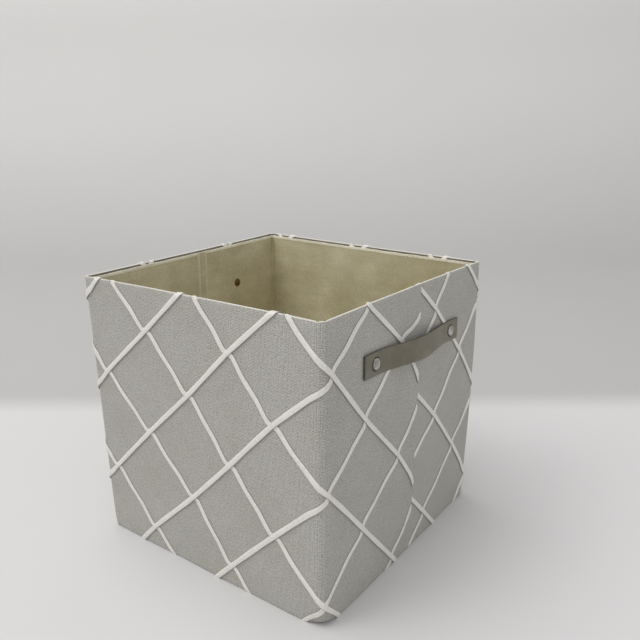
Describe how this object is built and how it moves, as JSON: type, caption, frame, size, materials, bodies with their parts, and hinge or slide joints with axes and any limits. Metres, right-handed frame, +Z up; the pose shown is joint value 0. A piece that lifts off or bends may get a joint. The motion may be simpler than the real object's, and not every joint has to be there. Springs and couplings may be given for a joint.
{
  "type": "fabric storage bin",
  "caption": "Open cube-shaped fabric bin with padded-board walls, a diagonal tape lattice and riveted strap handles, whose sides fold in so that it collapses flat.",
  "frame": {"origin": "centre of the underside, on the floor", "axes": "+Z up, plain front wall towards -Y, handle sides at +X and -X, rear wall at +Y"},
  "size_m": [0.3544, 0.3286, 0.325],
  "materials": {
    "cover_cloth": "matt linen weave",
    "tape_cloth": "matt ribbed cotton tape",
    "lining_cloth": "matt non-woven",
    "edging_cloth": "matt non-woven",
    "base_cloth": "matt non-woven",
    "insert_cloth": "matt non-woven",
    "wall_board": "matt grey-brown board",
    "insert_board": "matt grey-brown board",
    "handle_leather": "satin",
    "rivet_cap": "polished nickel",
    "rivet_back": "aged, satin"
  },
  "bodies": {
    "rear_wall": {"rear_cover": "cover_cloth", "rear_board": "wall_board", "rear_lining": "lining_cloth", "rear_rim_edging": "edging_cloth", "rear_rising_tapes": "tape_cloth", "rear_falling_tapes": "tape_cloth", "base_cloth": "base_cloth"},
    "front_wall": {"front_cover": "cover_cloth", "front_board": "wall_board", "front_lining": "lining_cloth", "front_rim_edging": "edging_cloth", "front_rising_tapes": "tape_cloth", "front_falling_tapes": "tape_cloth"},
    "base_insert": {"insert_board": "insert_board", "insert_cloth": "insert_cloth"},
    "right_front_half": {"right_front_cover": "cover_cloth", "right_front_board": "wall_board", "right_front_lining": "lining_cloth", "right_front_rim_edging": "edging_cloth", "right_front_rising_tapes": "tape_cloth", "right_front_falling_tapes": "tape_cloth", "right_front_rivet": "rivet_cap", "right_front_rivet_back": "rivet_back", "right_handle_strap": "handle_leather"},
    "right_rear_half": {"right_rear_cover": "cover_cloth", "right_rear_board": "wall_board", "right_rear_lining": "lining_cloth", "right_rear_rim_edging": "edging_cloth", "right_rear_rising_tapes": "tape_cloth", "right_rear_falling_tapes": "tape_cloth", "right_rear_rivet": "rivet_cap", "right_rear_rivet_back": "rivet_back"},
    "left_front_half": {"left_front_cover": "cover_cloth", "left_front_board": "wall_board", "left_front_lining": "lining_cloth", "left_front_rim_edging": "edging_cloth", "left_front_rising_tapes": "tape_cloth", "left_front_falling_tapes": "tape_cloth", "left_front_rivet": "rivet_cap", "left_front_rivet_back": "rivet_back", "left_handle_strap": "handle_leather"},
    "left_rear_half": {"left_rear_cover": "cover_cloth", "left_rear_board": "wall_board", "left_rear_lining": "lining_cloth", "left_rear_rim_edging": "edging_cloth", "left_rear_rising_tapes": "tape_cloth", "left_rear_falling_tapes": "tape_cloth", "left_rear_rivet": "rivet_cap", "left_rear_rivet_back": "rivet_back"}
  },
  "joints": [
    {"name": "fold", "type": "hinge", "parent": "rear_wall", "child": "right_rear_half", "pos_m": [0.1607, 0.1537, 0], "axis": [0, 0, -1], "range_deg": [0, 84], "deforming": ["base_cloth", "insert_board", "insert_cloth"]},
    {"name": "right_middle_fold", "type": "hinge", "parent": "right_rear_half", "child": "right_front_half", "pos_m": [0.1662, 0, 0], "axis": [0, 0, 1], "range_deg": [0, 168], "deforming": ["right_handle_strap"]},
    {"name": "front_right_corner", "type": "hinge", "parent": "right_front_half", "child": "front_wall", "pos_m": [0.1607, -0.1537, 0], "axis": [0, 0, -1], "range_deg": [0, 84]},
    {"name": "front_left_corner", "type": "hinge", "parent": "front_wall", "child": "left_front_half", "pos_m": [-0.1607, -0.1537, 0], "axis": [0, 0, -1], "range_deg": [0, 84]},
    {"name": "left_middle_fold", "type": "hinge", "parent": "left_front_half", "child": "left_rear_half", "pos_m": [-0.1662, 0, 0], "axis": [0, 0, 1], "range_deg": [0, 168], "deforming": ["left_handle_strap"]},
    {"name": "insert_flip", "type": "hinge", "parent": "rear_wall", "child": "base_insert", "pos_m": [0, 0.15645, 0.0031], "axis": [-1, 0, 0], "range_deg": [0, 90]}
  ],
  "couplings": [
    {"joint": "right_middle_fold", "follows": "fold", "ratio": 2},
    {"joint": "front_right_corner", "follows": "fold", "ratio": 1},
    {"joint": "front_left_corner", "follows": "fold", "ratio": 1},
    {"joint": "left_middle_fold", "follows": "fold", "ratio": 2},
    {"joint": "insert_flip", "follows": "fold", "ratio": 1.07}
  ]
}
